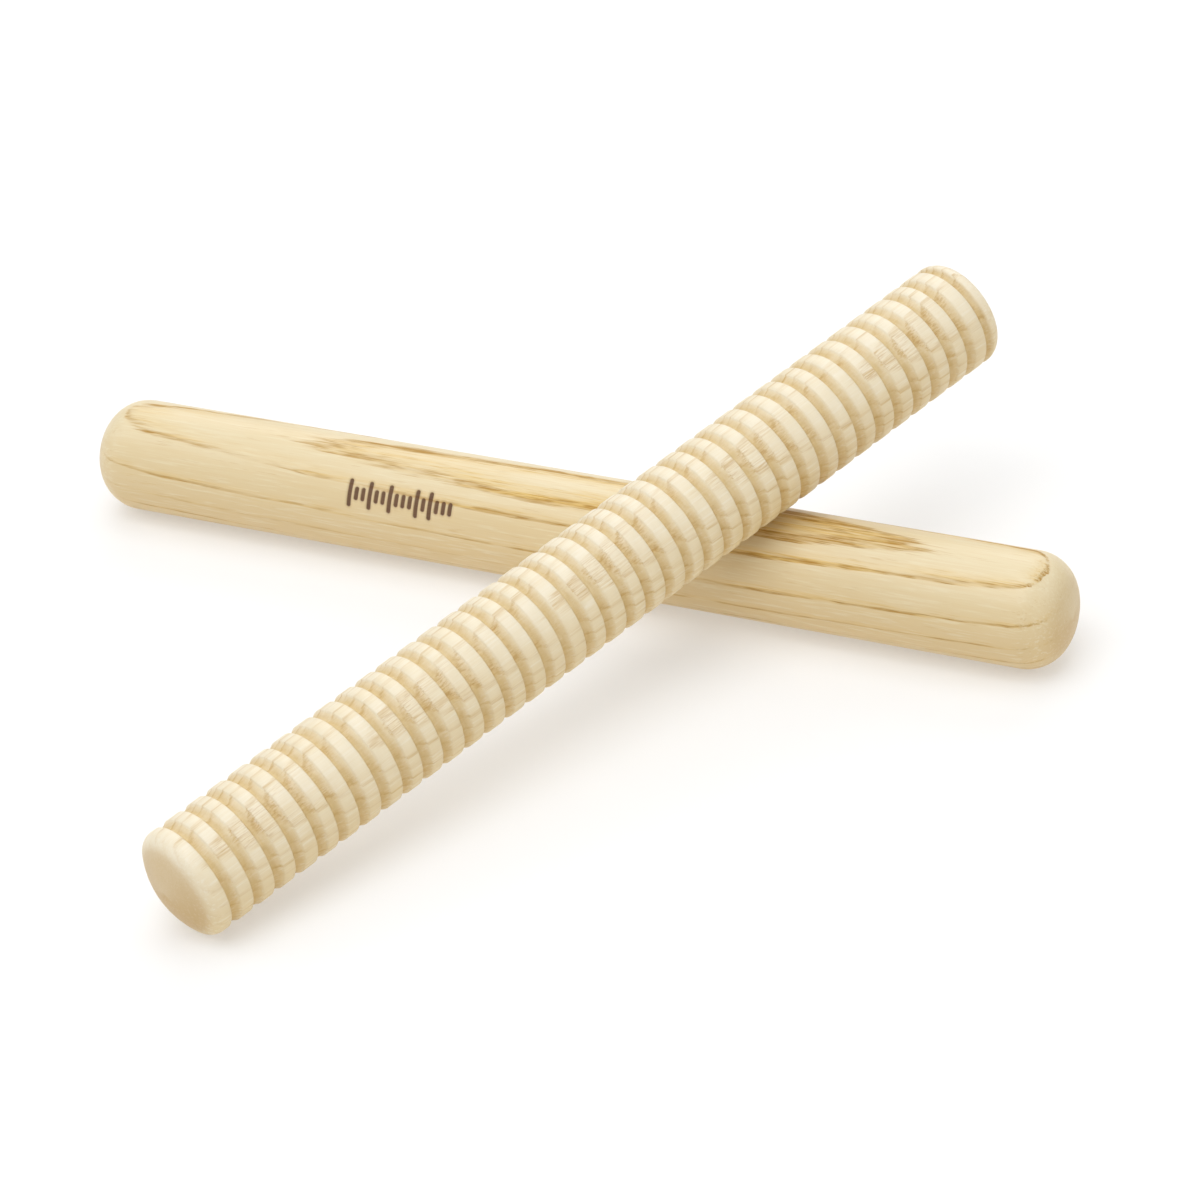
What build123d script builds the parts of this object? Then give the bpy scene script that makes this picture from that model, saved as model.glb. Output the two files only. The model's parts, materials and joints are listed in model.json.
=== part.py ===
from build123d import *
import os
from math import asin, cos, degrees, hypot, radians, sin, sqrt

# A pair of wooden claves, one plain and one cut with scraping grooves, lying crossed as they
# are put down: the plain one flat on the surface, the grooved one leaning over it with its
# near end on the surface. Millimetres, +Z up. The origin is on the surface, under the middle
# of the pair's box.

# Smooth clave, a plain turned rod that lies along X
SMOOTH_LENGTH = 200.0
SMOOTH_RADIUS = 10.7
SMOOTH_EDGE = 7.7             # radius of the rounding between the side and the end
SMOOTH_CROWN = 20.0           # radius of the ball-shaped crown that closes the end

# Grooved clave, slightly shorter and thinner, with blunter ends
GROOVED_LENGTH = 194.0
GROOVED_RADIUS = 10.3
GROOVED_EDGE = 2.6
GROOVED_CROWN = 17.0

# Scraping grooves, round-bottomed rings cut side by side along the whole rod
GROOVE_COUNT = 39
GROOVE_PITCH = 4.77
GROOVE_WIDTH = 2.05
GROOVE_DEPTH = 0.7
GROOVE_START = 5.8            # from the near end to the first groove's edge

# How the pair lies
CROSSING_FROM_MIDDLE = 38.3     # along the smooth clave, from its middle
CROSSING_FROM_NEAR_END = 134.0  # along the grooved clave, from its near end
CROSSING_ANGLE = 66.9           # degrees between the two rods, seen from above
CROSSING_GAP = 0.1              # air left between the two rods where they cross


def rounding_centre(radius, edge, crown):
    """How far from the end the rounding's centre is, tangent to the side and the crown."""
    return crown - sqrt((crown - edge) ** 2 - (radius - edge) ** 2)


def turned_rod(length, radius, edge, crown, groove_starts=()):
    """One solid turned rod along X, from its near end at the origin."""
    shoulder = rounding_centre(radius, edge, crown)
    crown_angle = degrees(asin((radius - edge) / (crown - edge)))
    edge_angle = 90 - crown_angle

    with BuildPart() as rod:
        with BuildSketch(Plane.XZ):
            with BuildLine():
                CenterArc((crown, 0), crown, 180 - crown_angle, crown_angle)
                CenterArc((shoulder, radius - edge), edge, 90, edge_angle)
                side_at = shoulder
                for start in groove_starts:
                    Line((side_at, radius), (start, radius))
                    middle = start + GROOVE_WIDTH / 2
                    side_at = start + GROOVE_WIDTH
                    ThreePointArc(
                        (start, radius), (middle, radius - GROOVE_DEPTH), (side_at, radius)
                    )
                Line((side_at, radius), (length - shoulder, radius))
                CenterArc((length - shoulder, radius - edge), edge, crown_angle, edge_angle)
                CenterArc((length - crown, 0), crown, 0, crown_angle)
                Line((length, 0), (0, 0))
            make_face()
        revolve(axis=Axis.X)
    return rod.solid()


def end_height(lean):
    """Height of the grooved clave's near end centre when its rounding rests on the surface."""
    shoulder = rounding_centre(GROOVED_RADIUS, GROOVED_EDGE, GROOVED_CROWN)
    return (GROOVED_RADIUS - GROOVED_EDGE) * cos(lean) + GROOVED_EDGE - shoulder * sin(lean)


def crossing_offset(lean, bearing):
    """Y and Z from the smooth rod's axis to the grooved rod's axis where they cross."""
    apart = SMOOTH_RADIUS + GROOVED_RADIUS + CROSSING_GAP
    across = -sin(lean)
    up = sin(bearing) * cos(lean)
    return apart * across / hypot(across, up), apart * up / hypot(across, up)


def resting_lean(bearing):
    """Lean of the grooved clave with its end on the surface and its side over the other."""
    lean = 0.0
    for _ in range(30):
        rise = SMOOTH_RADIUS + crossing_offset(lean, bearing)[1] - end_height(lean)
        lean = asin(rise / CROSSING_FROM_NEAR_END)
    return lean


def grooved_place():
    """Where the grooved rod's near end goes, and how the rod turns and leans."""
    bearing = radians(CROSSING_ANGLE)
    lean = resting_lean(bearing)
    across, up = crossing_offset(lean, bearing)
    near_end = (
        CROSSING_FROM_MIDDLE - CROSSING_FROM_NEAR_END * cos(bearing) * cos(lean),
        across - CROSSING_FROM_NEAR_END * sin(bearing) * cos(lean),
        SMOOTH_RADIUS + up - CROSSING_FROM_NEAR_END * sin(lean),
    )
    return Pos(*near_end) * Rot(Z=CROSSING_ANGLE) * Rot(Y=-degrees(lean))


smooth = Pos(-SMOOTH_LENGTH / 2, 0, SMOOTH_RADIUS) * turned_rod(
    SMOOTH_LENGTH, SMOOTH_RADIUS, SMOOTH_EDGE, SMOOTH_CROWN
)
groove_starts = [GROOVE_START + GROOVE_PITCH * index for index in range(GROOVE_COUNT)]
grooved = grooved_place() * turned_rod(
    GROOVED_LENGTH, GROOVED_RADIUS, GROOVED_EDGE, GROOVED_CROWN, groove_starts
)

# Put the origin under the middle of the pair
box = smooth.bounding_box().add(grooved.bounding_box())
to_origin = Pos(-box.center().X, -box.center().Y, -box.min.Z)
claves = {"smooth_clave": to_origin * smooth, "grooved_clave": to_origin * grooved}

os.makedirs("parts", exist_ok=True)
for name, solid in claves.items():
    export_step(solid, f"parts/{name}.step")
    size = solid.bounding_box().size
    print(f"{name}: {size.X:.2f} x {size.Y:.2f} x {size.Z:.2f}, {solid.volume:.0f} mm3")
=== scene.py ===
import json
from math import asin, cos, pi, radians, sin, sqrt

import bpy
import numpy as np
from mathutils import Matrix, Vector


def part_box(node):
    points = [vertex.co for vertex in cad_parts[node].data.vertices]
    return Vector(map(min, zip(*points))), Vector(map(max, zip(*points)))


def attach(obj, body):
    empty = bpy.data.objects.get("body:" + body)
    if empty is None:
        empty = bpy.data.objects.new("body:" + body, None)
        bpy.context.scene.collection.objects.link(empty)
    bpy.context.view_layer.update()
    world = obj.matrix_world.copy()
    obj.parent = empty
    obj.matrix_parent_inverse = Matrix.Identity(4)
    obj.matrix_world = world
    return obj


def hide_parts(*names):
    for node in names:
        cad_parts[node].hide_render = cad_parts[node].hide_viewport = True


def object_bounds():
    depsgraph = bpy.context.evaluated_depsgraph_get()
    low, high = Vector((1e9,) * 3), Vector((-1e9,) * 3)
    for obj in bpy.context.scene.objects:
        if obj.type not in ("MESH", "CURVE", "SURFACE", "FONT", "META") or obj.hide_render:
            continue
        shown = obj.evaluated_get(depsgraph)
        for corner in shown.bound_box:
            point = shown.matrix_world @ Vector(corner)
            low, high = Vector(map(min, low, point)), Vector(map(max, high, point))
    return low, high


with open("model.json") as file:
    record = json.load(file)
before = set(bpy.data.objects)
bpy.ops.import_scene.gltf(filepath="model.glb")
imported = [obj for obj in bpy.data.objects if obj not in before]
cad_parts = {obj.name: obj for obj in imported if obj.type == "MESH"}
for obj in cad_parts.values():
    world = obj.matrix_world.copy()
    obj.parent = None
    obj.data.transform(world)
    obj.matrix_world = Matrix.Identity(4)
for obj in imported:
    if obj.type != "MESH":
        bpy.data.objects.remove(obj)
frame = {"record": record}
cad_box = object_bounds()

# A pair of wooden claves lying crossed. Each stick is one turned mesh whose rings of points
# run from its near end to its far end. Lengths on a stick are in millimetres, measured along
# it and round it; the finished meshes are in metres in the part's frame.
MM = 0.001

# Shapes of the two sticks that the frame's boxes don't give
SMOOTH_EDGE, SMOOTH_CROWN = 7.7, 20.0
GROOVED_LENGTH, GROOVED_RADIUS = 194.0, 10.3
GROOVED_EDGE, GROOVED_CROWN = 2.6, 17.0
HOLD_FROM_NEAR_END = 50.0     # where the grooved stick's hold mount is

# Grooves. Places across one are measured from its near edge.
GROOVE_COUNT, GROOVE_PITCH, GROOVE_START = 39, 4.77, 5.8
GROOVE_WIDTH, GROOVE_DEPTH = 2.05, 0.7
# The mesh's rings across a groove and its land
GROOVE_RINGS = (0.0, 0.12, 0.25, 0.40, 0.55, 0.90, 1.25, 1.60, 1.95, 2.15, 2.30, 2.45, 3.6)
GROOVE_NEAR_WALL = 0.55
GROOVE_FAR_SIDE = (0.90, GROOVE_WIDTH + 0.10, GROOVE_WIDTH + 0.40)    # rising floor, then its lip
GROOVE_FAR_DEPTHS = (1.0, 0.42, 0.0)
# Colour across a groove: painted shade with the cut wood's deeper tone, darkest just past the near
# wall and fading up the far slope
GROOVE_CUT_SHADE_AT, GROOVE_CUT_SHADE = (0.80, 1.30, 2.00, 2.42), (1.0, 0.85, 0.55, 0.0)
GROOVE_CUT_SHADE_EDGE = 0.45       # the cut tone and painted shade come in over this width
GROOVE_STRAY = 0.15           # how far a groove lies from its even place, at most
GROOVE_SHALLOWEST = 0.88      # share of the full depth

# Growth rings: how far from the middle of the smooth stick each year's dark line lies
SMOOTH_RINGS = (-8.6, -5.9, -2.15, 2.4, 7.6, 9.75)
SMOOTH_RING_FACES = radians(8.5)     # the way the rings face, from straight up to the front
SMOOTH_RING_BOW = 2.3e-4             # how the rings curve along the stick, per mm
SMOOTH_BOW_AT = 110.0
SMOOTH_END_DROP = 0.5                # how much further the rings drop near the near end
SMOOTH_END_DROP_FROM, SMOOTH_END_DROP_TO = 17, 3
SMOOTH_RING_SWAY = 0.10
SMOOTH_SOFT_WIDTH = 0.8              # width of the soft early wood after each line
SMOOTH_RING_SHOW = 0.5               # how strongly the ochre early wood shows
# Where it shows more: place along the stick, reach and gain
SMOOTH_OCHRE_PATCHES = (
    (20, 12, 0.8), (54, 9, 0.5), (98, 22, 0.7), (148, 26, 0.9), (184, 13, 0.6),
)
GROOVED_RING_FACES = radians(43.0)
GROOVED_RING_STEP = 1.9              # distance between years
GROOVED_RING_SLOPE = 0.050           # how steeply the rings run out of the stick
GROOVED_FIRST_ARCH = 8.0             # where the first ring surfaces, from the near end
GROOVED_RING_SWAY = 0.16
GROOVED_RING_SHOW = 0.8

# Surface of the wood, as depths in mm
WORN, WORN_SWING, WORN_MOST = 0.02, 0.012, 0.06    # sanded below the CAD's surface
SMOOTH_SOFT_WOOD, GROOVED_SOFT_WOOD = 0.02, 0.012  # early wood is sanded lower
CHIPS = 0.07                  # out of a groove's edges
LIFTED, LIFTED_MOST = 0.05, 0.08                   # torn fibres on the lands
CUT_ROUGHNESS = 0.05          # across the fibres in a groove
FULL_WEAR_OUT = 3.0           # nearer the axis than this, wear fades, so that the tips close

# End faces: how far in from the side their darker colour begins, and where it is full; it is
# partly end-grain tone, partly painted shade
SMOOTH_FACE, GROOVED_FACE = (1.2, 5.5), (0.6, 3.0)

# Burnt mark on the smooth stick: a row of plain upright bars, tall on the beats of a rhythm
MARK_ALONG, MARK_ROUND = 69.5, radians(57.5)
MARK_STEPS, MARK_BEATS, MARK_PITCH = 16, (0, 3, 6, 10, 12), 1.42
MARK_TALL, MARK_SHORT, MARK_BAR = 5.4, 2.6, 0.86
MARK_DEPTH, MARK_EDGE, MARK_SCORCH = 0.13, 0.06, 0.55

# Mesh of the smooth stick: finer through the mark, along it and round it
MARK_MARGIN, MARK_HALF_TURN = 1.0, radians(19)
MARK_RING_GAP, MARK_TURN_GAP = 0.125, radians(0.5)
PLAIN_RING_GAP, RINGS_PAST_MARK, TURNS_PAST_MARK = 1.7, 74, 200
GROOVED_TURNS = 180

# Numbers that each mesh gives its material at every point; what a stick doesn't set is 0
FIELDS = ("depth", "strength", "tone", "burn", "scorch", "cut_and_shade", "face", "torn")

rng = np.random.default_rng(7)


# ---------------------------------------------------------------- places from the frame

def stick_frame(near_end, along):
    """4x4 matrix from a stick's own axes (along, side, up) to the part's frame."""
    along = along.normalized()
    up = (Vector((0, 0, 1)) - along * along.z).normalized()
    side = up.cross(along)
    matrix = Matrix((along, side, up)).transposed().to_4x4()
    matrix.translation = near_end
    return matrix


def smooth_stick():
    """Place, length and radius, from the box of a stick that lies along X."""
    low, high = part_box("smooth_clave")
    length = (high[0] - low[0]) / MM
    radius = (high[2] - low[2]) / 2 / MM
    near_end = Vector((low[0], (low[1] + high[1]) / 2, (low[2] + high[2]) / 2))
    return stick_frame(near_end, Vector((1, 0, 0))), length, radius


def grooved_stick():
    """Place, length and radius. Its hold mount is on its axis and points at its near end."""
    hold = next(m for m in frame["record"]["mounts"] if m["name"] == "grooved_clave_hold")
    along = -Vector(hold["axis"]).normalized()
    near_end = Vector(hold["pos_m"]) - along * HOLD_FROM_NEAR_END * MM
    return stick_frame(near_end, along), GROOVED_LENGTH, GROOVED_RADIUS


# ---------------------------------------------------------------- mesh building

def end_profile(radius, edge, crown, crown_steps, edge_steps):
    """Distance along and radius from the end's tip, up to where the straight side begins."""
    lean = asin((radius - edge) / (crown - edge))
    shoulder = crown - (crown - edge) * cos(lean)
    turn = np.linspace(0, lean, crown_steps + 1)[:-1]
    sweep = np.linspace(lean, pi / 2, edge_steps)
    along = np.concatenate([crown - crown * np.cos(turn), shoulder - edge * np.cos(sweep)])
    out = np.concatenate([crown * np.sin(turn), radius - edge + edge * np.sin(sweep)])
    return along, out


def soft_step(low, high, value):
    """0 below low, 1 above high, smooth between; low may be above high."""
    t = np.clip((value - low) / (high - low), 0, 1)
    return t * t * (3 - 2 * t)


def waves(x, angle, count, reach, turns, seed):
    """Smooth seeded noise of about -1 to 1. It is a sum of waves, about reach mm long along
    the stick, with 0 to turns of them round it."""
    made = np.random.default_rng(seed)
    total = np.zeros(np.broadcast(x, angle).shape)
    for _ in range(count):
        along = made.normal() * 2 * pi / reach
        round_ = made.integers(0, turns + 1)
        total = total + np.cos(along * x + round_ * angle + made.uniform(0, 2 * pi))
    return total / sqrt(count)


def worn_away(x, angle, reach, seed):
    """How far the surface is sanded below the CAD's."""
    swing = waves(x, angle, count=8, reach=reach, turns=3, seed=seed)
    return np.clip(WORN + WORN_SWING * swing, 0, WORN_MOST)


def end_face(nominal, radius, inset):
    """1 on the end faces, 0 on the side."""
    begins, full = inset
    return soft_step(radius - begins, radius - full, nominal)[:, None]


def add_attribute(mesh, name, kind, values):
    made = mesh.attributes.new(name, kind, "POINT")
    field = "vector" if kind == "FLOAT_VECTOR" else "value"
    made.data.foreach_set(field, np.asarray(values, dtype=np.float32).ravel())


def turned_mesh(name, place, along, out, round_, fields):
    """Turned stick: rings at along, out[ring, angle] from the axis, angles round_.

    The first and last rings are the tips, where every point falls on the axis."""
    rings, turns = out.shape
    x = np.repeat(along[:, None], turns, 1)
    points = np.stack([x, -out * np.sin(round_), out * np.cos(round_)], -1)
    body = points[1:-1].reshape(-1, 3)
    local = np.concatenate([points[0, :1], body, points[-1, :1]])
    last = len(local) - 1

    def index(ring, turn):
        return 1 + (ring - 1) * turns + turn % turns

    ring, turn = np.meshgrid(np.arange(1, rings - 2), np.arange(turns), indexing="ij")
    corners = ((ring, turn), (ring, turn + 1), (ring + 1, turn + 1), (ring + 1, turn))
    quads = np.stack([index(*corner) for corner in corners], -1).reshape(-1, 4)
    turn = np.arange(turns)
    first_tip, last_tip = np.zeros_like(turn), np.full_like(turn, last)
    near = np.stack([first_tip, index(1, turn + 1), index(1, turn)], -1)
    far = np.stack([last_tip, index(rings - 2, turn), index(rings - 2, turn + 1)], -1)

    matrix = np.array(place)
    world = local * MM @ matrix[:3, :3].T + matrix[:3, 3]
    mesh = bpy.data.meshes.new(name)
    mesh.from_pydata(world.tolist(), [], near.tolist() + quads.tolist() + far.tolist())
    mesh.shade_smooth()
    add_attribute(mesh, "grain", "FLOAT_VECTOR", local)
    # The tone field carries painted light and shade: the material paints the top of the stick
    # paler and its underside deeper
    fields = {**fields, "tone": 0.5 + 0.5 * np.cos(round_)}    # 1 on top of the stick, 0 below
    for field in FIELDS:
        values = np.broadcast_to(fields.get(field, 0.0), out.shape)
        packed = np.concatenate([values[0, :1], values[1:-1].ravel(), values[-1, :1]])
        add_attribute(mesh, field, "FLOAT", packed)
    add_bake_map(mesh, along, out, round_)
    piece = bpy.data.objects.new(name, mesh)
    bpy.context.scene.collection.objects.link(piece)
    return piece


def add_bake_map(mesh, along, out, round_):
    """Unrolls the stick into two bands, near half below and far half above."""
    rings, turns = out.shape
    run = np.hypot(np.diff(along), np.diff(out.mean(1)))
    run = np.concatenate([[0], np.cumsum(run)])
    run = run / run[-1]
    middle = int(np.searchsorted(run, 0.5))
    share = (np.append(round_, round_[0] + 2 * pi) - round_[0]) / (2 * pi)
    margin = 0.006

    # Each face's own ring and turn, in the order in which turned_mesh made the faces: the near
    # tip's triangles, the quads, then the far tip's triangles
    faces = len(mesh.polygons)
    corner_count = np.zeros(faces, dtype=np.int64)
    mesh.polygons.foreach_get("loop_total", corner_count)
    face = np.repeat(np.arange(faces), corner_count)
    parts = [face < turns, face >= faces - turns]
    face_turn = np.select(parts, [face, face - (faces - turns)], (face - turns) % turns)
    face_ring = np.select(parts, [0, rings - 2], (face - turns) // turns + 1)

    # Each face corner's ring and turn. The last face round closes at a full turn, not at 0,
    # and a tip's corner is in the middle of its face.
    vertex = np.zeros(len(mesh.loops), dtype=np.int64)
    mesh.loops.foreach_get("vertex_index", vertex)
    tips = [vertex == 0, vertex == len(mesh.vertices) - 1]
    vertex_ring = np.select(tips, [0, rings - 1], (vertex - 1) // turns + 1)
    vertex_turn = (vertex - 1) % turns
    closes = (face_turn == turns - 1) & (vertex_turn == 0)
    vertex_turn = np.where(closes, turns, vertex_turn)
    face_middle = (share[face_turn] + share[face_turn + 1]) / 2
    v = np.where(tips[0] | tips[1], face_middle, share[vertex_turn])

    far_half = face_ring >= middle
    start = np.where(far_half, run[middle], 0)
    span = np.where(far_half, 1 - run[middle], run[middle])
    u = (run[vertex_ring] - start) / span
    across = margin + u * (1 - 2 * margin)
    up = np.where(far_half, 0.5, 0) + margin + v * (0.5 - 2 * margin)
    layer = mesh.uv_layers.new(name="OFBake")
    layer.data.foreach_set("uv", np.stack([across, up], -1).astype(np.float32).ravel())


# ---------------------------------------------------------------- the smooth stick

def bar_field(along, arc):
    """How deep inside the mark's bars a point is, in mm; negative outside."""
    inside = np.full(along.shape, -9.0)
    for step in range(MARK_STEPS):
        centre = (step - (MARK_STEPS - 1) / 2) * MARK_PITCH
        height = MARK_TALL if step in MARK_BEATS else MARK_SHORT
        straight = (height - MARK_BAR) / 2
        lift = np.maximum(np.abs(arc) - straight, 0)
        inside = np.maximum(inside, MARK_BAR / 2 - np.hypot(along - centre, lift))
    return inside


def ring_line(depth, rings, width):
    """1 just past each year's line, falling to 0 at width past it."""
    line = np.zeros(depth.shape)
    for ring in rings:
        past = depth - ring
        line = np.maximum(line, soft_step(-0.15, 0.1, past) * soft_step(width, 0.1, past))
    return line


def smooth_strength(x, depth):
    """How strongly the early wood shows: in patches along the stick, most in the eye on top of
    it, and least on the side that the rings turn from and near the near end."""
    strength = SMOOTH_RING_SHOW + sum(
        gain * np.exp(-(((x - centre) / reach) ** 2))
        for centre, reach, gain in SMOOTH_OCHRE_PATCHES
    )
    top_ring = SMOOTH_RINGS[-1]
    in_eye = 1 + 0.5 * soft_step(top_ring - 0.1, top_ring + 0.3, depth)
    on_top = 0.40 + 0.60 * soft_step(-3.0, 9.0, depth)
    past_end = 0.15 + 0.85 * soft_step(2, 10, x)
    return strength * in_eye * on_top * past_end


def make_smooth_clave():
    place, length, radius = smooth_stick()
    tip, tip_out = end_profile(radius, SMOOTH_EDGE, SMOOTH_CROWN, crown_steps=5, edge_steps=12)
    mark_reach = MARK_STEPS * MARK_PITCH / 2 + MARK_MARGIN
    mark_from, mark_to = MARK_ALONG - mark_reach, MARK_ALONG + mark_reach
    before = np.arange(tip[-1], mark_from, PLAIN_RING_GAP)[1:]
    through = np.arange(mark_from, mark_to, MARK_RING_GAP)
    after = np.linspace(mark_to, length - tip[-1], RINGS_PAST_MARK)[:-1]
    straight = np.concatenate([before, through, after])
    along = np.concatenate([tip, straight, length - tip[::-1]])
    nominal = np.concatenate([tip_out, np.full(len(straight), radius), tip_out[::-1]])

    mark_start, mark_end = MARK_ROUND - MARK_HALF_TURN, MARK_ROUND + MARK_HALF_TURN
    fine = np.arange(mark_start, mark_end, MARK_TURN_GAP)
    rest = np.linspace(mark_end, mark_start + 2 * pi, TURNS_PAST_MARK)[:-1]
    round_ = np.concatenate([fine, rest])

    x, angle = along[:, None], round_[None, :]
    inside = bar_field(x - MARK_ALONG, radius * (angle - MARK_ROUND) + 0 * x)
    burn = soft_step(-MARK_EDGE, MARK_EDGE, inside)
    facing = nominal[:, None] * np.cos(angle - SMOOTH_RING_FACES)
    end_drop = SMOOTH_END_DROP * soft_step(SMOOTH_END_DROP_FROM, SMOOTH_END_DROP_TO, x)
    bow = SMOOTH_RING_BOW * (x - SMOOTH_BOW_AT) ** 2 + end_drop
    sway = SMOOTH_RING_SWAY * waves(x, angle, count=6, reach=60, turns=2, seed=3)
    depth = facing - bow + sway
    soft = ring_line(depth, SMOOTH_RINGS, SMOOTH_SOFT_WIDTH)
    worn = worn_away(x, angle, reach=50, seed=5)
    taper = soft_step(0, FULL_WEAR_OUT, nominal)[:, None]
    out = nominal[:, None] - taper * (worn + SMOOTH_SOFT_WOOD * soft + MARK_DEPTH * burn)
    fields = {
        "depth": depth,
        "strength": smooth_strength(x, depth),
        "burn": burn,
        "scorch": soft_step(-MARK_SCORCH, 0.0, inside),
        "face": end_face(nominal, radius, SMOOTH_FACE),
    }
    return turned_mesh("smooth_clave_turned", place, along, out, round_, fields)


# ---------------------------------------------------------------- the grooved stick

def groove_depth(across):
    """Depth of one groove at a distance from its near edge: a steep near wall, then a floor
    that rises slowly to a lip on the far side."""
    near_wall = soft_step(0.0, GROOVE_NEAR_WALL, across)
    far_side = np.interp(across, GROOVE_FAR_SIDE, GROOVE_FAR_DEPTHS)
    return GROOVE_DEPTH * np.minimum(near_wall, far_side)


def make_grooved_clave():
    place, length, radius = grooved_stick()
    tip, tip_out = end_profile(radius, GROOVED_EDGE, GROOVED_CROWN, crown_steps=7, edge_steps=8)
    across = np.array(GROOVE_RINGS)
    # Colour across each groove: painted shade with the cut wood's deeper tone, darkest just past
    # the near wall and fading up the far slope
    cut_shade_profile = soft_step(0.0, GROOVE_CUT_SHADE_EDGE, across)
    cut_shade_profile = cut_shade_profile * np.interp(across, GROOVE_CUT_SHADE_AT, GROOVE_CUT_SHADE)
    along, deep, cut_and_shade = [], [], []
    for index in range(GROOVE_COUNT):
        stray = rng.uniform(-GROOVE_STRAY, GROOVE_STRAY)
        along.append(GROOVE_START + GROOVE_PITCH * index + stray + across)
        deep.append(groove_depth(across) * rng.uniform(GROOVE_SHALLOWEST, 1.0))
        cut_and_shade.append(cut_shade_profile)
    along, deep, cut_and_shade = np.concatenate(along), np.concatenate(deep), np.concatenate(cut_and_shade)
    keep = (along > tip[-1] + 0.05) & (along < length - tip[-1] - 0.05)
    no_groove = np.zeros(len(tip))
    nominal = np.concatenate([tip_out, np.full(keep.sum(), radius), tip_out[::-1]])
    deep = np.concatenate([no_groove, deep[keep], no_groove])
    cut_and_shade = np.concatenate([no_groove, cut_and_shade[keep], no_groove])[:, None]
    along = np.concatenate([tip, along[keep], length - tip[::-1]])

    round_ = np.linspace(0, 2 * pi, GROOVED_TURNS, endpoint=False) - pi
    x, angle = along[:, None], round_[None, :]
    floor = (nominal - deep)[:, None]
    facing = floor * np.cos(angle - GROOVED_RING_FACES)
    depth = facing - radius + GROOVED_RING_SLOPE * (x - GROOVED_FIRST_ARCH)
    depth = depth + GROOVED_RING_SWAY * waves(x, angle, count=7, reach=70, turns=2, seed=11)
    since = np.mod(depth, GROOVED_RING_STEP)
    past_end = soft_step(1.5, 7, x)
    soft = soft_step(0, 0.1, since) * soft_step(0.75, 0.1, since) * past_end
    cut_and_shade = cut_and_shade * (1 + 0.12 * waves(3 * x, angle, count=14, reach=6, turns=24, seed=29))

    # Fibres lifted and chipped where the soft early wood meets a groove's edge
    near_edge = soft_step(0.0, 0.05, deep) * soft_step(0.45, 0.1, deep)
    ragged = np.clip(waves(3 * x, angle, count=14, reach=9, turns=40, seed=17), 0, 2)
    chips = CHIPS * near_edge[:, None] * ragged * (0.25 + soft)
    crest = soft_step(-1.2, -0.1, facing + deep[:, None] - nominal[:, None])
    crest = crest * soft_step(2, 8, x)
    torn = crest * soft_step(0, 0.15, since) * soft_step(1.1, 0.3, since)
    lifted = LIFTED * torn * waves(x, angle, count=16, reach=12, turns=60, seed=23)
    lifted = np.clip(lifted, 0, LIFTED_MOST)
    rough_cut = CUT_ROUGHNESS * cut_and_shade * waves(2 * x, angle, count=18, reach=4, turns=45, seed=19)
    worn = worn_away(x, angle, reach=40, seed=13)
    taper = soft_step(0, FULL_WEAR_OUT, nominal)[:, None]
    out = floor - taper * (worn + GROOVED_SOFT_WOOD * soft + chips + lifted)
    out = np.minimum(out + taper * rough_cut, nominal[:, None])

    # The rings show most where they arch over the side that they face
    arch_side = soft_step(-radius, 0.75 * radius, facing)
    fields = {
        "depth": depth,
        "strength": GROOVED_RING_SHOW * (0.40 + 0.60 * arch_side) * (0.15 + 0.85 * past_end),
        "cut_and_shade": cut_and_shade,
        "face": end_face(nominal, radius, GROOVED_FACE),
        "torn": torn,
    }
    return turned_mesh("grooved_clave_turned", place, along, out, round_, fields)


# ---------------------------------------------------------------- wood

def tone(red, green, blue):
    """Linear colour from the usual 0-255 screen values."""
    def channel(value):
        value /= 255
        return value / 12.92 if value <= 0.04045 else ((value + 0.055) / 1.055) ** 2.4
    return (channel(red), channel(green), channel(blue), 1.0)


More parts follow.
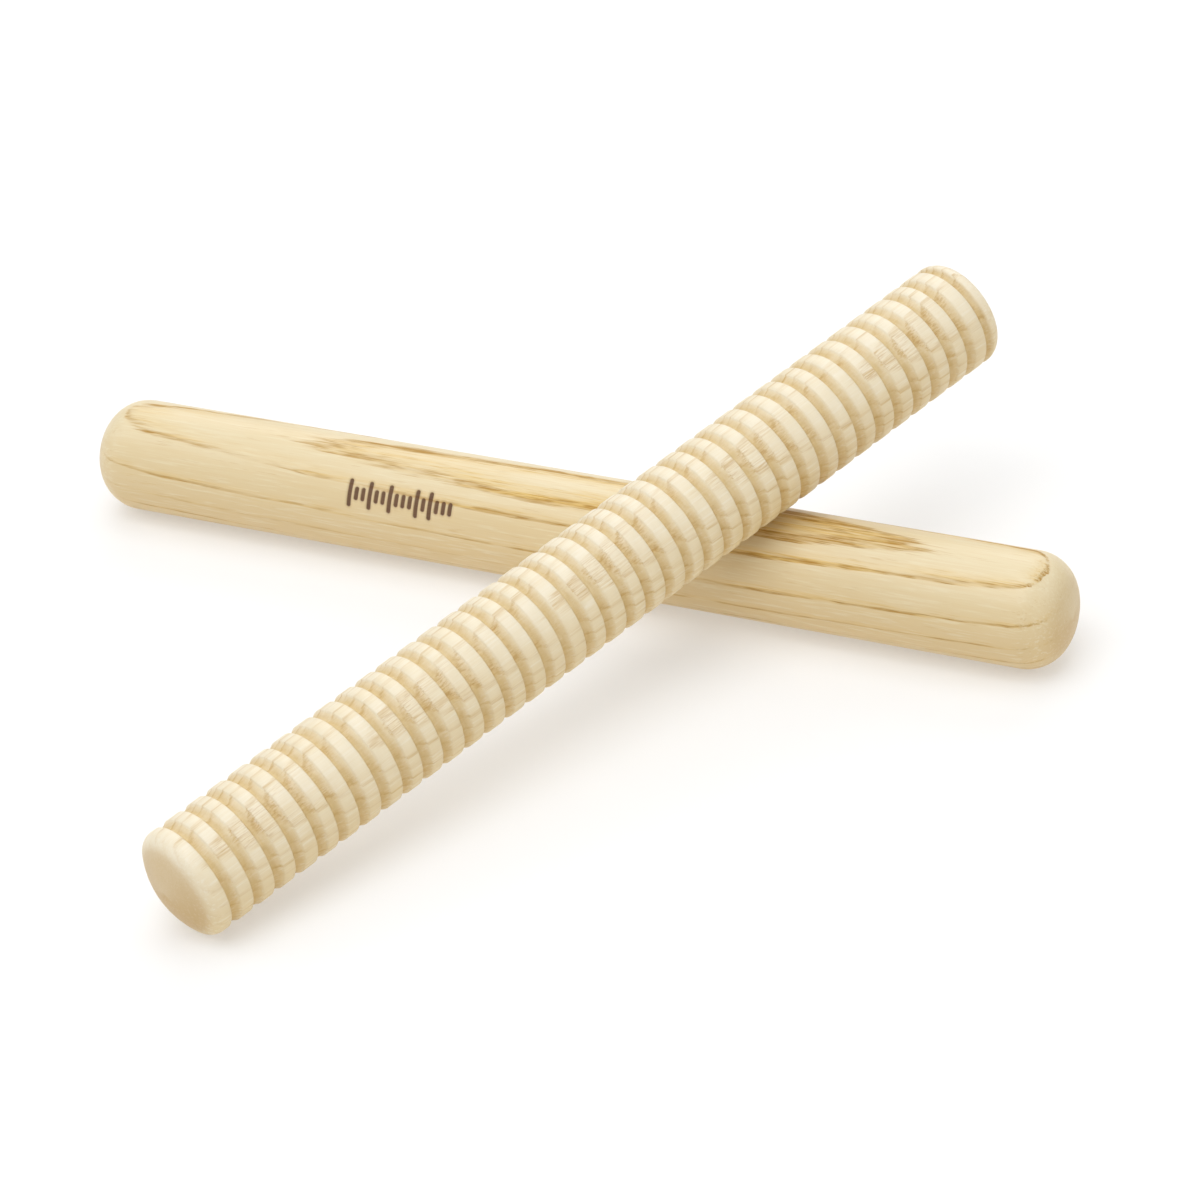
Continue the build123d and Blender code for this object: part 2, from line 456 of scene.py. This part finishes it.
class Wood:
    """A few short calls for wiring one material's nodes."""

    def __init__(self, name):
        self.material = bpy.data.materials.new(name)
        self.material.use_nodes = True
        self.tree = self.material.node_tree
        self.tree.nodes.clear()
        output = self.tree.nodes.new("ShaderNodeOutputMaterial")
        self.shader = self.tree.nodes.new("ShaderNodeBsdfPrincipled")
        self.tree.links.new(self.shader.outputs[0], output.inputs[0])
        self.grain = self.attribute("grain", "Vector")

    def put(self, socket, value):
        if isinstance(value, bpy.types.NodeSocket):
            self.tree.links.new(value, socket)
        elif value is not None:
            socket.default_value = value

    def attribute(self, name, kind="Fac"):
        node = self.tree.nodes.new("ShaderNodeAttribute")
        node.attribute_name = name
        return node.outputs[kind]

    def math(self, kind, first, second=None, third=None, clamp=False):
        node = self.tree.nodes.new("ShaderNodeMath")
        node.operation = kind
        node.use_clamp = clamp
        for socket, value in zip(node.inputs, (first, second, third)):
            self.put(socket, value)
        return node.outputs[0]

    def times(self, first, second, clamp=False):
        return self.math("MULTIPLY", first, second, clamp=clamp)

    def most(self, first, second):
        return self.math("MAXIMUM", first, second)

    def span(self, value, at_0, at_1):
        """A straight line: at_0 where the value is 0, at_1 where it is 1."""
        return self.math("MULTIPLY_ADD", value, at_1 - at_0, at_0)

    def along_grain(self, kind, along, across):
        """Texture node with features along and across the grain, per mm."""
        place = self.tree.nodes.new("ShaderNodeVectorMath")
        place.operation = "MULTIPLY"
        self.put(place.inputs[0], self.grain)
        self.put(place.inputs[1], (along, across, across))
        node = self.tree.nodes.new(kind)
        self.put(node.inputs["Vector"], place.outputs[0])
        node.inputs["Scale"].default_value = 1.0
        return node

    def noise(self, along, across, detail, rough=0.5):
        node = self.along_grain("ShaderNodeTexNoise", along, across)
        node.inputs["Detail"].default_value = detail
        node.inputs["Roughness"].default_value = rough
        return node.outputs["Fac"]

    def cells(self, along, across):
        return self.along_grain("ShaderNodeTexVoronoi", along, across).outputs["Distance"]

    def between(self, value, low, high, most=1.0):
        """0 at low, most at high, smooth between; low may be above high."""
        node = self.tree.nodes.new("ShaderNodeMapRange")
        node.interpolation_type = "SMOOTHSTEP"
        self.put(node.inputs["Value"], value)
        ends = (("From Min", low), ("From Max", high), ("To Min", 0.0), ("To Max", most))
        for name, number in ends:
            node.inputs[name].default_value = number
        return node.outputs["Result"]

    def ramp(self, value, stops):
        node = self.tree.nodes.new("ShaderNodeValToRGB")
        self.put(node.inputs["Fac"], value)
        ends = node.color_ramp.elements
        while len(ends) < len(stops):
            ends.new(0.5)
        for element, (position, level) in zip(ends, stops):
            element.position = position
            element.color = (level, level, level, 1)
        return node.outputs["Color"]

    def mix(self, amount, first, second, kind="MIX"):
        node = self.tree.nodes.new("ShaderNodeMix")
        node.data_type = "RGBA"
        node.blend_type = kind
        self.put(node.inputs[0], amount)
        self.put(node.inputs[6], first)
        self.put(node.inputs[7], second)
        return node.outputs[2]

    def bump(self, height, distance, strength):
        node = self.tree.nodes.new("ShaderNodeBump")
        node.inputs["Strength"].default_value = strength
        node.inputs["Distance"].default_value = distance
        self.put(node.inputs["Height"], height)
        return node.outputs[0]


# One year's band of early wood, and the rows of pores that begin it: mm after the year's line,
# then level
EARLY_BAND = ((-0.12, 0.0), (0.06, 1.0), (0.50, 0.70), (1.30, 0.0))
FIRST_PORES_BAND = ((-0.10, 0.0), (0.04, 1.0), (0.25, 0.8), (0.48, 0.0))
BAND_LEAD = 0.12              # how far before the line a band begins, at most

# Noises that run with the grain: features per mm along it and across it, detail, and
# roughness where it isn't the usual 0.5
PATCHES = (0.045, 0.5, 3.0, 0.6)
STREAKS = (0.05, 1.9, 4.0, 0.6)
ROW_GAPS = (0.11, 0.7, 2.0, 0.6)
RARE_SPOTS = (0.11, 1.3, 1.0)
DRIFT = (0.014, 0.12, 3.0)
FIBRES = (0.07, 3.4, 4.0, 0.62)
SILVER_FIBRES = (0.12, 2.0, 3.0, 0.6)
SCRATCHES = (0.20, 3.6, 3.0, 0.6)
END_PORES = (2.2, 2.6, 3.0, 0.7)
CHAR = (1.5, 6.0, 3.0)
# The same, and how far each makes the year lines waver, in mm
WAVERS = (((0.035, 0.22, 2.0), 0.9), ((0.08, 1.6, 2.0), 0.5), ((0.15, 5.0, 2.0), 0.35))
# Long open pores, one in each cell: cells per mm along the grain and across it
DASHES, THIN_DASHES = (0.12, 2.3), (0.22, 5.0)

SCORCH_TONE = tone(168, 128, 78)
CHAR_TONES = tone(84, 58, 38), tone(126, 92, 62)
BUMP_HEIGHT, BUMP_STRENGTH = 0.00008, 0.7
COAT_ROUGHNESS = 0.35


def years_listed(rings, radius):
    """Rings at listed depths. Gives a function that draws a band after each ring's line."""
    def draw(wood, depth, band):
        place = wood.math("MULTIPLY_ADD", depth, 1 / (2 * radius), 0.5)
        stops = []
        for ring in rings:
            for offset, level in band:
                stops.append((min(1, (ring + offset) / (2 * radius) + 0.5), level))
        return wood.ramp(place, stops)
    return draw


def years_even(step):
    """The same for evenly spaced rings."""
    def draw(wood, depth, band):
        since = wood.math("ADD", depth, BAND_LEAD)
        since = wood.math("FRACT", wood.math("DIVIDE", since, step))
        return wood.ramp(since, [((offset + BAND_LEAD) / step, level) for offset, level in band])
    return draw


def ash(name, years, tones, shine, line_gain, pore_gain):
    """Ring-porous wood: pale late wood, ochre early wood full of long open pores."""
    wood = Wood(name)
    depth, strength, side, burn, scorch, cut_and_shade, face, torn = map(wood.attribute, FIELDS)

    # The year lines waver slowly along the stick and a little from fibre to fibre
    wavered = depth
    for noise, size in WAVERS:
        swing = wood.math("SUBTRACT", wood.noise(*noise), 0.5)
        wavered = wood.math("MULTIPLY_ADD", swing, size, wavered)
    early = years(wood, wavered, EARLY_BAND)
    first = years(wood, wavered, FIRST_PORES_BAND)

    # Where along the stick the early wood shows: long patches, with bare stretches between
    patch = wood.between(wood.noise(*PATCHES), 0.36, 0.60)
    patch = wood.most(patch, wood.between(strength, 0.9, 1.9))
    shows = wood.times(strength, wood.span(patch, 0.25, 1.0))
    shows = wood.times(shows, wood.span(face, 1.0, 0.15))
    early_seen = wood.times(early, shows, clamp=True)
    first_seen = wood.times(first, wood.times(shows, 1.6), clamp=True)

    # Long open pores: rows of dashes at the year lines, looser ones in the rest of the early
    # wood, and a few alone elsewhere
    streaks = wood.between(wood.noise(*STREAKS), 0.42, 0.62)
    dashes = wood.between(wood.cells(*DASHES), 0.44, 0.14)
    thin_dashes = wood.between(wood.cells(*THIN_DASHES), 0.46, 0.18)
    gaps = wood.between(wood.noise(*ROW_GAPS), 0.36, 0.52)
    beads = wood.most(thin_dashes, wood.times(streaks, 0.8))
    row = wood.times(first_seen, wood.span(gaps, 0.20, 1.0))
    row = wood.times(row, wood.span(beads, 0.40, 1.0))
    scattered = wood.times(early_seen, wood.most(dashes, thin_dashes))
    scattered = wood.times(scattered, wood.span(streaks, 0.20, 0.75))
    rare = wood.between(wood.noise(*RARE_SPOTS), 0.60, 0.68)
    lone = wood.times(thin_dashes, wood.times(rare, 0.28))
    scattered = wood.most(scattered, lone)
    pores = wood.most(row, scattered)

    # Colour of the late wood: painted light and shade make it pale on top of the stick and deep
    # below; it drifts across the stick, with fine fibre streaks
    fibre = wood.noise(*FIBRES)
    silver = wood.noise(*SILVER_FIBRES)
    base = wood.mix(wood.between(side, 0.2, 1.0), tones["deep"], tones["lit_top_pale"])
    base = wood.mix(wood.between(wood.noise(*DRIFT), 0.3, 0.7, most=0.35), base, tones["warm"])
    base = wood.mix(wood.between(fibre, 0.35, 0.75, most=0.30), base, tones["warm"])
    base = wood.mix(wood.between(silver, 0.50, 0.70, most=0.40), base, tones["silver"])

    # Ochre early wood and the pores in it
    tint = wood.times(early_seen, wood.span(streaks, 0.31, 0.76))
    base = wood.mix(wood.times(tint, line_gain, clamp=True), base, tones["early"])
    base = wood.mix(wood.times(scattered, pore_gain, clamp=True), base, tones["pore"])
    base = wood.mix(wood.times(row, pore_gain, clamp=True), base, tones["line"])

    # Torn fibres: light and dark scratches along the grain
    scratch = wood.noise(*SCRATCHES)
    dark_ones = wood.times(torn, wood.between(scratch, 0.50, 0.62, most=0.42))
    light_ones = wood.times(torn, wood.between(scratch, 0.46, 0.34, most=0.55))
    base = wood.mix(dark_ones, base, tones["pore"])
    base = wood.mix(light_ones, base, tones["silver"])

    # In the grooves and on the ends the colour is darkened: partly the deeper tone of wood cut
    # across the fibres, partly painted shade, strongest just past each groove's near wall
    ends = wood.noise(*END_PORES)
    speck = wood.times(wood.between(ends, 0.52, 0.70), 0.22)
    deeper = wood.mix(1.0, base, tones["cut_and_shade_factor"], "MULTIPLY")
    base = wood.mix(cut_and_shade, base, wood.mix(speck, deeper, tones["pore"]))
    # Darker end faces: partly end-grain tone, partly painted shade
    deeper = wood.mix(1.0, base, tones["end_tone_and_shade"], "MULTIPLY")
    base = wood.mix(wood.times(face, 0.8), base, deeper)

    # Burnt mark with a faint scorched edge
    base = wood.mix(wood.times(scorch, 0.28), base, SCORCH_TONE)
    base = wood.mix(burn, base, wood.mix(wood.noise(*CHAR), *CHAR_TONES))
    wood.put(wood.shader.inputs["Base Color"], base)

    rough = wood.math("MULTIPLY_ADD", fibre, 0.14, shine)
    rough = wood.math("MULTIPLY_ADD", pores, 0.22, rough)
    rough = wood.math("MULTIPLY_ADD", cut_and_shade, 0.22, rough)
    rough = wood.math("MULTIPLY_ADD", burn, 0.25, rough, clamp=True)
    wood.put(wood.shader.inputs["Roughness"], rough)

    height = wood.math("MULTIPLY_ADD", pores, -pore_gain, wood.times(fibre, 0.22))
    height = wood.math("MULTIPLY_ADD", wood.times(ends, cut_and_shade), 0.9, height)
    wood.put(wood.shader.inputs["Normal"], wood.bump(height, BUMP_HEIGHT, BUMP_STRENGTH))
    # Open pores don't shine
    wood.put(wood.shader.inputs["Specular IOR Level"], wood.span(pores, 0.5, 0.1))
    wood.put(wood.shader.inputs["Coat Weight"], wood.span(pores, 0.15, 0.01))
    wood.shader.inputs["Coat Roughness"].default_value = COAT_ROUGHNESS
    return wood.material


def smooth_ash():
    """Warm cream wood with plain ochre rings. Painted light and shade make it paler on top and
    deeper below; its ends are a little darker, partly end-grain tone, partly painted shade.
    """
    radius = smooth_stick()[2]
    tones = {
        # Painted light and shade: the first tone goes on top of the stick, the deep one on its
        # underside
        "lit_top_pale": tone(232, 217, 181),
        "deep": tone(219, 192, 140),
        "warm": tone(221, 194, 140),
        "silver": tone(237, 226, 196),
        "early": tone(224, 186, 92),
        "pore": tone(194, 148, 62),
        "line": tone(172, 128, 56),
        "cut_and_shade_factor": (1, 1, 1, 1),
        # The factor below darkens the ends: partly end-grain tone, partly painted shade
        "end_tone_and_shade": (0.82, 0.75, 0.62, 1),
    }
    years = years_listed(SMOOTH_RINGS, radius)
    return ash("smooth_ash", years, tones, shine=0.34, line_gain=1.0, pore_gain=0.92)


def grooved_ash():
    """Paler wood with faint rings. Painted light and shade make it paler on top and deeper below;
    its grooves and ends are darker, partly the deeper tone of cut wood, partly painted shade.
    """
    tones = {
        # Painted light and shade: the first tone goes on top of the stick, the deep one on its
        # underside
        "lit_top_pale": tone(241, 231, 208),
        "deep": tone(226, 203, 154),
        "warm": tone(230, 211, 168),
        "silver": tone(245, 237, 219),
        "early": tone(220, 188, 124),
        "pore": tone(192, 152, 86),
        "line": tone(192, 154, 92),
        # The grooves' factor darkens them: partly the deeper tone of cut wood, partly painted
        # shade
        "cut_and_shade_factor": (0.79, 0.68, 0.47, 1),
        # The factor below darkens the ends: partly end-grain tone, partly painted shade
        "end_tone_and_shade": (0.70, 0.56, 0.35, 1),
    }
    years = years_even(GROOVED_RING_STEP)
    return ash("grooved_ash", years, tones, shine=0.42, line_gain=0.55, pore_gain=0.34)


# ---------------------------------------------------------------- studio

AZIMUTH, ELEVATION, ROLL = radians(29.646), radians(31.928), radians(-6.435)
DISTANCE = 0.84725
FOCAL_SHARE = 3.8941667       # focal length over the picture's width
AIM_FROM_MIDDLE = Vector((0.01597, 0.01767, -0.01537))
SENSOR_WIDTH, CLIP_END = 36.0, 50.0

FLOOR_REACH = 6.0
FLOOR_WHITE, FLOOR_GLOW = 0.62, 0.36
WORLD_STRENGTH = 0.333
HORIZON = 0.566               # as bright as the far floor, so that the two meet without an edge
HORIZON_FROM, HORIZON_TO = 0.08, 0.20              # heights over which the sky leaves it
# Soft lights round the table: place in metres, size, watts
LIGHTS = {
    "top": ((0.0, 0.0, 1.2), (1.0, 1.0), 4.76),
    "top_front": ((0.0, -0.6, 1.1), (1.0, 0.8), 5.46),
    "back": ((-0.3, 1.1, 0.8), (1.4, 0.8), 5.79),
    "left": ((-1.1, -0.3, 0.8), (0.9, 0.8), 2.62),
    "right": ((1.2, 0.2, 0.7), (0.9, 0.8), 2.68),
}
LIGHTS_AIM = Vector((0, 0, 0.02))


def make_camera(middle):
    back = Vector((sin(AZIMUTH) * cos(ELEVATION), -cos(AZIMUTH) * cos(ELEVATION), sin(ELEVATION)))
    right = (-back).cross(Vector((0, 0, 1))).normalized()
    up = back.cross(right)
    turned_right = cos(ROLL) * right + sin(ROLL) * up
    turned_up = cos(ROLL) * up - sin(ROLL) * right
    data = bpy.data.cameras.new("camera")
    data.sensor_width = SENSOR_WIDTH
    data.lens = FOCAL_SHARE * SENSOR_WIDTH
    data.clip_end = CLIP_END
    camera = bpy.data.objects.new("camera", data)
    bpy.context.scene.collection.objects.link(camera)
    matrix = Matrix((turned_right, turned_up, back)).transposed().to_4x4()
    matrix.translation = middle + AIM_FROM_MIDDLE + back * DISTANCE
    camera.matrix_world = matrix
    bpy.context.scene.camera = camera


def make_floor():
    """Pale table, lit a little from below as a light table is, so that shadows stay faint."""
    mesh = bpy.data.meshes.new("floor")
    signs = ((-1, -1), (1, -1), (1, 1), (-1, 1))
    mesh.from_pydata([(x * FLOOR_REACH, y * FLOOR_REACH, 0) for x, y in signs], [], [(0, 1, 2, 3)])
    floor = bpy.data.objects.new("floor", mesh)
    bpy.context.scene.collection.objects.link(floor)
    material = bpy.data.materials.new("floor_paper")
    material.use_nodes = True
    shader = material.node_tree.nodes["Principled BSDF"]
    shader.inputs["Base Color"].default_value = (FLOOR_WHITE, FLOOR_WHITE, FLOOR_WHITE, 1)
    shader.inputs["Roughness"].default_value = 0.9
    shader.inputs["Specular IOR Level"].default_value = 0.1
    shader.inputs["Emission Color"].default_value = (1, 1, 1, 1)
    shader.inputs["Emission Strength"].default_value = FLOOR_GLOW
    mesh.materials.append(material)


def make_world():
    """White sky, brighter at the horizon."""
    world = bpy.data.worlds.new("studio")
    world.use_nodes = True
    nodes, links = world.node_tree.nodes, world.node_tree.links
    background = nodes["Background"]
    background.inputs["Color"].default_value = (1.0, 1.0, 1.0, 1)
    direction = nodes.new("ShaderNodeTexCoord")
    parts = nodes.new("ShaderNodeSeparateXYZ")
    level = nodes.new("ShaderNodeMapRange")
    level.interpolation_type = "SMOOTHSTEP"
    level.inputs["From Min"].default_value = HORIZON_FROM
    level.inputs["From Max"].default_value = HORIZON_TO
    level.inputs["To Min"].default_value = HORIZON
    level.inputs["To Max"].default_value = WORLD_STRENGTH
    links.new(direction.outputs["Generated"], parts.inputs[0])
    links.new(parts.outputs["Z"], level.inputs["Value"])
    links.new(level.outputs["Result"], background.inputs["Strength"])
    bpy.context.scene.world = world


def make_lights():
    for name, (place, size, watts) in LIGHTS.items():
        data = bpy.data.lights.new(name, "AREA")
        data.shape = "RECTANGLE"
        data.size, data.size_y = size
        data.energy = watts
        light = bpy.data.objects.new(name, data)
        light.location = place
        light.rotation_euler = (LIGHTS_AIM - Vector(place)).to_track_quat("-Z", "Y").to_euler()
        bpy.context.scene.collection.objects.link(light)


# ---------------------------------------------------------------- putting it together

smooth = make_smooth_clave()
smooth.data.materials.append(smooth_ash())
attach(smooth, "smooth_clave")
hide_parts("smooth_clave")

grooved = make_grooved_clave()
grooved.data.materials.append(grooved_ash())
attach(grooved, "grooved_clave")
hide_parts("grooved_clave")

make_floor()
make_world()
make_lights()
make_camera(Vector([(a + b) / 2 for a, b in zip(*cad_box)]))
bpy.context.scene.view_settings.view_transform = "Standard"
